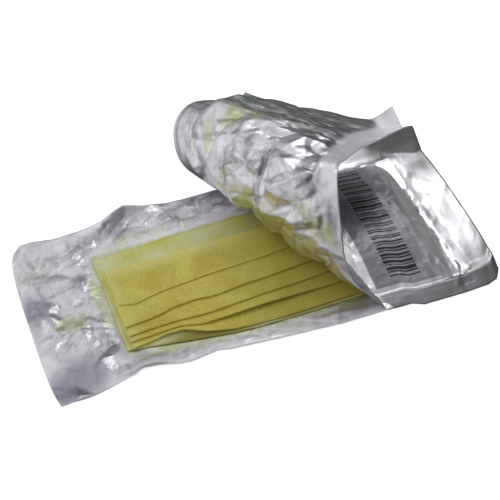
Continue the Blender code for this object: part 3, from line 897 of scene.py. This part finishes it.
def gauze(name, tones, sheen, patch, speckle):
    """Fine gauze soaked in petrolatum: the weave shows through a soft waxy film."""
    made, tree, shader = surface(name)
    flat = flat_of(tree)
    cloth = use(tree, weave, {"Flat": flat, "Pitch": WEAVE_PITCH})
    cloud = noise(tree, flat, patch, 5.0, Roughness=0.6)
    cloud = times(tree, sums(tree, "SUBTRACT", cloud, 0.5), 3.4)
    grain = linear(tree, sums(tree, "SUBTRACT", cloth["Shade"], 0.5), speckle, cloud)
    depth = sums(tree, "ADD", grain, 0.5, clamp=True)
    shadow = linear(tree, cloth["Yarn"], -0.5, 0.5, clamp=True)
    between = blended(tree, shadow, blended(tree, depth, *tones), tuple(0.6 * c for c in tones[1][:3]) + (1,))
    thin = times(tree, mark_of(tree, "thin"), sums(tree, "ADD", cloud, 0.75, clamp=True))
    filmed = blended(tree, thin, between, THIN_FILM)
    feed(tree, shader, {
        # Painted shade: the gauze darkens towards the flap and under the lifted ply at the gape.
        "Base Color": blended(tree, times(tree, mark_of(tree, "gauze_shade"), 0.6), filmed, DEEP_SHADE),
        "Roughness": linear(tree, cloth["Shade"], 0.25, 0.38),
        "Subsurface Weight": 0.5,
        "Subsurface Radius": (0.0018, 0.0014, 0.0005),
        "Coat Weight": sheen,
        "Coat Roughness": 0.35,
    }, 0.8, WEAVE_RELIEF, cloth["Height"])
    return made


def yarn_ends():
    """Cut yarns that stand out of the gauze: waxy, with a fine twist along them."""
    made, tree, shader = surface("yarn_ends")
    place = node(tree, "TexCoord").outputs["Object"]
    twist = noise(tree, place, 2200.0, 3.0)
    feed(tree, shader, {
        "Base Color": blended(tree, twist, *YARN), "Roughness": linear(tree, twist, 0.3, 0.4),
    }, 0.5, YARN_RELIEF, twist)
    return made


# ---------------------------------------------------------------- cut yarn ends, by Geometry Nodes
def yarn_shape(tree, inside):
    """A short bent yarn along X, a millimetre long."""
    path = placed(tree, "GeometryNodeCurveQuadraticBezier", {
        "Resolution": 6, "Start": (-0.0003, 0, 0), "Middle": (0.0005, 0.0002, 0.0001), "End": (0.001, 0.0001, -0.0001),
    })
    ring = placed(tree, "GeometryNodeCurvePrimitiveCircle", {"Resolution": 5, "Radius": inside["Thickness"]})
    tube = {"Curve": path.outputs[0], "Profile Curve": ring.outputs[0], "Fill Caps": True}
    return placed(tree, "GeometryNodeCurveToMesh", tube).outputs[0]


def cut_yarns(name, places, turns, skin, sizes):
    """Short yarns at places, turned about the upright and then swayed and scaled at random, as one plain mesh."""
    mesh = bpy.data.meshes.new(name + "_places")
    mesh.from_pydata((np.asarray(places) * MM).tolist(), [], [])
    mesh.attributes.new("turn", "FLOAT", "POINT").data.foreach_set("value", np.asarray(turns, np.float32))
    holder = put(name + "_places", mesh)
    tree = bpy.data.node_groups.new(name, "GeometryNodeTree")
    tree.interface.new_socket("Geometry", in_out="INPUT", socket_type="NodeSocketGeometry")
    for label in ("Smallest", "Largest", "Sway", "Thickness"):
        tree.interface.new_socket(label, in_out="INPUT", socket_type="NodeSocketFloat")
    tree.interface.new_socket("Seed", in_out="INPUT", socket_type="NodeSocketInt")
    tree.interface.new_socket("Geometry", in_out="OUTPUT", socket_type="NodeSocketGeometry")
    inside, out = tree.nodes.new("NodeGroupInput").outputs, tree.nodes.new("NodeGroupOutput").inputs
    limits = {0: times(tree, inside["Sway"], -1.0), 1: inside["Sway"], 8: inside["Seed"]}
    sway = placed(tree, "FunctionNodeRandomValue", limits, data_type="FLOAT_VECTOR").outputs[0]
    turn = placed(tree, "GeometryNodeInputNamedAttribute", {"Name": "turn"}, data_type="FLOAT").outputs[0]
    turned = vectors(tree, "ADD", sway, node(tree, "CombineXYZ", {"Z": turn}).outputs[0])
    limits = {2: inside["Smallest"], 3: inside["Largest"], 8: inside["Seed"]}
    size = placed(tree, "FunctionNodeRandomValue", limits, data_type="FLOAT").outputs[1]
    many = placed(tree, "GeometryNodeInstanceOnPoints", {
        "Points": inside["Geometry"], "Instance": yarn_shape(tree, inside), "Rotation": turned, "Scale": size,
    })
    real = placed(tree, "GeometryNodeRealizeInstances", {"Geometry": many.outputs[0]})
    skinned = placed(tree, "GeometryNodeSetMaterial", {"Geometry": real.outputs[0], "Material": skin})
    tree.links.new(skinned.outputs[0], out["Geometry"])
    modifier = holder.modifiers.new("copies", "NODES")
    modifier.node_group = tree
    for socket in tree.interface.items_tree:
        if socket.in_out == "INPUT" and socket.name in sizes:
            modifier[socket.identifier] = sizes[socket.name]
    graph = bpy.context.evaluated_depsgraph_get()
    plain = bpy.data.meshes.new_from_object(holder.evaluated_get(graph))
    plain.shade_smooth()
    bpy.data.objects.remove(holder)
    return put(name, plain)


# ---------------------------------------------------------------- the pieces
inside, outside = foil_inside(), foil_outside()
soaked = gauze("soaked_gauze", SOAKED, 0.12, 42.0, 2.8)
pale = gauze("pale_gauze", PALE, 0.15, 45.0, 1.3)

# Soft spots in a foil's flat coordinates: middle, two radii, heading and strength
BACK_OIL = [
    (-64, -51, 30, 8, 8, 1.00),
    (-118, -8, 20, 14, 0, 0.75),
    (-97, 2, 8, 46, 0, 0.8),
    (-20, -52, 90, 9, 6, 0.75),
    (-60, 44, 60, 8, 4, 0.6),
    (-128, 40, 16, 10, 0, 0.5),
]
# Painted shade: grey spots on crumpled facets of the back foil.
BACK_FACET_SHADE = [
    (-134, 12, 13, 20, 0, 0.85),
    (-107, 20, 12, 7, 60, 0.70),
    (-95, -38, 24, 11, -60, 0.60),
    (-78, 58, 34, 8, 10, 0.60),
    (-126, -52, 30, 22, 20, 1.0),
    (-60, -58, 60, 7, 4, 0.5),
]
# The same, for where the fine creases crowd
BACK_CRUMPLED = [
    (-112, -6, 30, 26, 20, 0.75),
    (-125, 44, 20, 18, 0, 0.45),
    (-30, 54, 90, 13, 3, 0.65),
    (-20, -56, 95, 10, 4, 0.40),
]
FLAP_CRUMPLED = [
    (-48, -14, 26, 16, -20, 0.80),
    (-62, 50, 22, 18, 40, 0.75),
    (-22, -46, 46, 14, 10, 0.70),
    (-74, 18, 20, 16, 20, 0.35),
    (-110, 0, 34, 60, 0, 0.60),
    (6, 20, 20, 40, 0, 0.40),
]
FLAP_OIL = [
    (-72, 17, 22, 12, 20, 0.88),
    (-56, 31, 18, 10, 0, 0.80),
    (-82, 2, 16, 10, 30, 0.80),
    (2, -22, 60, 20, -58, 0.60),
    (2, -12, 62, 9, -64, 0.95),
    (-6, -47, 30, 14, -50, 0.84),
    (-29, -57, 14, 8, 0, 0.50),
    (-90, 0, 8, 40, 0, 0.50),
]

grid, creases = back_foil_points()
x, y, u, v = grid[0][..., 0], grid[0][..., 1], grid[1], grid[2]
marks = {
    "oil": np.maximum(patches(u, v, BACK_OIL), 0.9 * (1 - smooth(gauze_distance(x, y) / 5))),
    "crumple": 0.30 + patches(u, v, BACK_CRUMPLED),
    "foil_shade": patches(u, v, BACK_FACET_SHADE),
    "crease": creases,
}
back_foil_sheet = sheet_piece("back_foil_sheet", grid, FILM, [inside, outside], marks)
grid, creases = front_foil_points()
u, v = grid[1], grid[2]
over_gauze = smooth((u - 50) / 8) * smooth((HALF_WIDTH - SIDE_SEAL - np.abs(v)) / 4 + 0.5)
over_gauze = over_gauze * smooth((HALF_LENGTH - END_SEAL + 4 - u) / 6)
marks = {
    "oil": patches(u, v, FLAP_OIL),
    "crumple": 0.12 + patches(u, v, FLAP_CRUMPLED) + 0.85 * over_gauze,
    # Painted shade on the side seal margins.
    "foil_shade": 0.35 * smooth((np.abs(v) - HALF_WIDTH + SIDE_SEAL + 1) / 4) * smooth((u + 70) / 20),
    "dark_reflection": dark_reflection_share(u, v),
    "crease": creases,
    "frost": smooth((-49 - v) / 6) * smooth((-10 - u) / 30),
}
front_foil_sheet = sheet_piece("front_foil_sheet", grid, FILM, [outside, inside], marks)
base_grid, web_grid = base_points(), web_points()
# Painted shade on the gauze: darker towards the flap, and under the open fold at the gape.
gauze_shade = smooth((base_grid[0][..., 0] + 45) / 80)
gauze_shade = np.maximum(gauze_shade, patches(base_grid[1], base_grid[2], [(-50, -45, 52, 10, 0, 1.5)]))
gauze_base_sheet = sheet_piece("gauze_base_sheet", base_grid, BASE_SHOWN, [pale], {"gauze_shade": gauze_shade})
web_x, web_y = web_grid[0][..., 0], web_grid[0][..., 1]
gauze_shade = smooth((web_x + 45) / 80)
thin = np.maximum(0.75 * smooth((web_y - 8) / 11), 0.45 * smooth((-80 - web_x) / 9)) * (1 - 0.7 * gauze_shade)
gauze_web_sheet = sheet_piece("gauze_web_sheet", web_grid, WEB_SHOWN, [soaked], {"gauze_shade": gauze_shade, "thin": thin})

yarn = yarn_ends()
yarn_sizes = {"Smallest": 0.5, "Largest": 1.6, "Sway": 0.5, "Thickness": 0.00006, "Seed": 3}
end = base_grid[0][0, ::2]
base_yarn_ends = cut_yarns("base_yarn_ends", end, np.full(len(end), math.pi), yarn, yarn_sizes)
end = web_grid[0][0, ::3]
cut = web_grid[0][2:130:2, -1]
turns = np.concatenate([np.full(len(end), math.pi), np.full(len(cut), -math.pi / 2)])
web_yarn_ends = cut_yarns("web_yarn_ends", np.vstack([end, cut]), turns, yarn, yarn_sizes)

for piece, replaced, slot in (
    (back_foil_sheet, "back_foil", "foil"),
    (front_foil_sheet, "front_foil", "printed_foil"),
    (gauze_base_sheet, "gauze_base", "pale_gauze"),
    (gauze_web_sheet, "gauze_web", "soaked_gauze"),
    (base_yarn_ends, None, "pale_gauze"),
    (web_yarn_ends, None, "soaked_gauze"),
):
    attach(piece, "root")
    if replaced:
        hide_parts(replaced)


# ---------------------------------------------------------------- stage, light and camera
def towards(azimuth, elevation):
    """Unit vector to a place in the studio. Azimuth 0 is +Y, behind the pouch, and 90 is +X."""
    a, e = math.radians(azimuth), math.radians(elevation)
    return (math.sin(a) * math.cos(e), math.cos(a) * math.cos(e), math.sin(e))


# Half the floor's side, and its height just below the part
FLOOR_HALF, FLOOR_Z = 2.0, -0.0002


def floor():
    """A plain pale floor that glows evenly for the camera. What it sends back into the foil is a painted reflection:
    its side towards -X glows, and the rest is painted near-black, as a flag under the table would hold it down.
    """
    mesh = bpy.data.meshes.new("floor")
    half = FLOOR_HALF
    mesh.from_pydata([(-half, -half, 0), (half, -half, 0), (half, half, 0), (-half, half, 0)], [], [(0, 1, 2, 3)])
    made = put("floor", mesh)
    made.location.z = FLOOR_Z
    skin, tree, shader = surface("floor_white")
    path = node(tree, "LightPath").outputs
    parts = node(tree, "SeparateXYZ", {0: node(tree, "TexCoord").outputs["Object"]}).outputs
    side = linear(tree, parts[1], -0.15, parts[0])
    flag = ramp(tree, side, -0.20, -0.03)
    held = blended(tree, flag, (0.85, 0.85, 0.87, 1), (0.07, 0.07, 0.075, 1))
    seen = blended(tree, path["Is Camera Ray"], held, (0.88, 0.88, 0.88, 1))
    glow = linear(tree, flag, -0.50, 0.50)
    glow = sums(tree, "MAXIMUM", glow, times(tree, path["Is Camera Ray"], 0.75))
    wire(tree, shader, {
        "Base Color": seen, "Emission Strength": glow, "Emission Color": (1, 1, 1, 1), "Roughness": 0.9,
    })
    mesh.materials.append(skin)


def area_light(name, place, target, size, power):
    """A soft light that looks at a point."""
    data = bpy.data.lights.new(name, "AREA")
    data.shape = "RECTANGLE"
    data.size, data.size_y = size
    data.energy = power
    made = put(name, data)
    made.location = place
    way = Vector(target) - Vector(place)
    made.rotation_euler = way.to_track_quat("-Z", "Y").to_euler()


# Broad soft lights and dark cards round the table: azimuth, elevation, sharpness and strength
SURROUNDINGS = [
    (-65, -8, 1.2, 0.66),
    (16, 53, 10.0, 0.36),
    (95, 40, 3.0, -0.10),
    (170, 45, 3.0, -0.16),
    (42, 16, 4.0, -0.14),
    (46, 60, 10.0, -0.30),
    (-50, 33, 34.0, -0.42),
    (-88, 42, 30.0, -0.40),
    (-100, 10, 34.0, -0.16),
    (-22, 64, 40.0, -0.10),
    (0, 36, 50.0, -0.22),
]


def studio_world():
    """Soft surroundings, a little brighter overhead, and a white backdrop for the camera."""
    world = bpy.data.worlds.new("studio")
    world.use_nodes = True
    tree = world.node_tree
    tree.nodes.clear()
    direction = node(tree, "TexCoord").outputs["Generated"]
    up = node(tree, "SeparateXYZ", {0: direction}).outputs[2]
    greys = node(tree, "ValToRGB", {0: up})
    stops = greys.color_ramp.elements
    for place, grey in ((0.0, 0.10), (1.0, 0.74), (0.24, 0.20), (0.5, 0.36), (0.75, 0.48)):
        stop = stops[round(place)] if place in (0.0, 1.0) else stops.new(place)
        stop.color = (grey, grey, grey, 1)
    level = greys.outputs[0]
    for azimuth, elevation, sharpness, strength in SURROUNDINGS:
        facing = vectors(tree, "DOT_PRODUCT", direction, towards(azimuth, elevation))
        lobe = sums(tree, "POWER", sums(tree, "MAXIMUM", facing, 0.0), sharpness)
        level = linear(tree, lobe, strength, level)
    level = times(tree, sums(tree, "MAXIMUM", level, 0.04), 1.17)
    lit = node(tree, "Background", {"Color": (0.98, 0.98, 1.0, 1), "Strength": level}).outputs[0]
    white = node(tree, "Background", {"Color": (1, 1, 1, 1), "Strength": 1.0}).outputs[0]
    seen = node(tree, "LightPath").outputs["Is Camera Ray"]
    mixed = node(tree, "MixShader", {0: seen, 1: lit, 2: white}).outputs[0]
    tree.links.new(mixed, node(tree, "OutputWorld").inputs["Surface"])
    bpy.context.scene.world = world


# The photograph's camera: its turn and tilt, its distance, and the point on the table that it looks at
TURN, TILT, REACH = math.radians(-21.25), math.radians(49.5), 0.75668
AIM = (0.00232, 0.00993)
LENS, SENSOR = 86.4, 36.0

floor()
studio_world()
area_light("window", place=(0.28, 0.337, 0.473), target=(0.13, 0.0, 0.0), size=(0.17, 0.15), power=0.37)
area_light("fill", place=(-0.74, -0.07, 1.06), target=(0.0, 0.0, 0.0), size=(1.2, 1.2), power=1.3)

camera_data = bpy.data.cameras.new("camera")
camera_data.lens = LENS
camera_data.sensor_width = SENSOR
camera = put("camera", camera_data)
camera.location = (
    AIM[0] + REACH * math.cos(TILT) * math.sin(TURN),
    AIM[1] - REACH * math.cos(TILT) * math.cos(TURN),
    REACH * math.sin(TILT),
)
camera.rotation_euler = (math.pi / 2 - TILT, 0.0, TURN)
bpy.context.scene.camera = camera
bpy.context.scene.view_settings.view_transform = "Standard"
